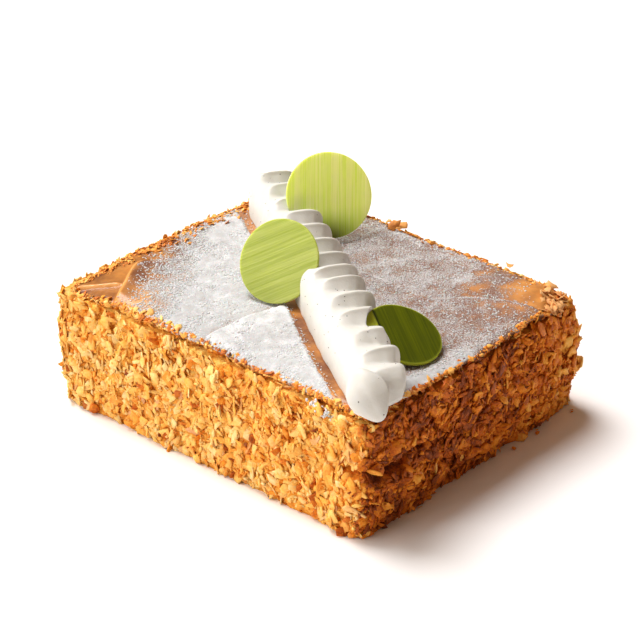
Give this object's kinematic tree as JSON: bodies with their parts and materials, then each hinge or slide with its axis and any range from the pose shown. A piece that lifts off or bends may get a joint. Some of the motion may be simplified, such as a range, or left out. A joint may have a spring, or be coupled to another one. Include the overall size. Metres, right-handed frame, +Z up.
{
  "type": "mille feuille slice",
  "caption": "Rectangular puff pastry and cream slice coated in pastry flakes, glazed sugared top, ruffled cream rope corner to corner, thin green discs.",
  "frame": {"origin": "centre of the slice's footprint box, on the surface it stands on", "axes": "+X along the long side to the right, +Y to the back, +Z up"},
  "size_m": [0.1506, 0.1216, 0.0746],
  "materials": {
    "flaked_coat": "dry baked pastry flakes over cream, golden orange",
    "glazed_pastry": "baked puff pastry with a thin caramel glaze, dusted with icing sugar",
    "icing_sugar": "fine dry white powder",
    "cream": "smooth whipped vanilla cream, faint sheen",
    "vanilla_seed": "tiny dark vanilla seeds",
    "green_chocolate": "thin brushed green chocolate, satin, slightly translucent"
  },
  "bodies": {
    "root": {"crumb_coated_block": "flaked_coat", "top_pastry_sheet": "glazed_pastry", "cream_rope": "cream", "green_disc_back": "green_chocolate", "green_disc_left": "green_chocolate", "green_disc_right": "green_chocolate"}
  },
  "joints": []
}
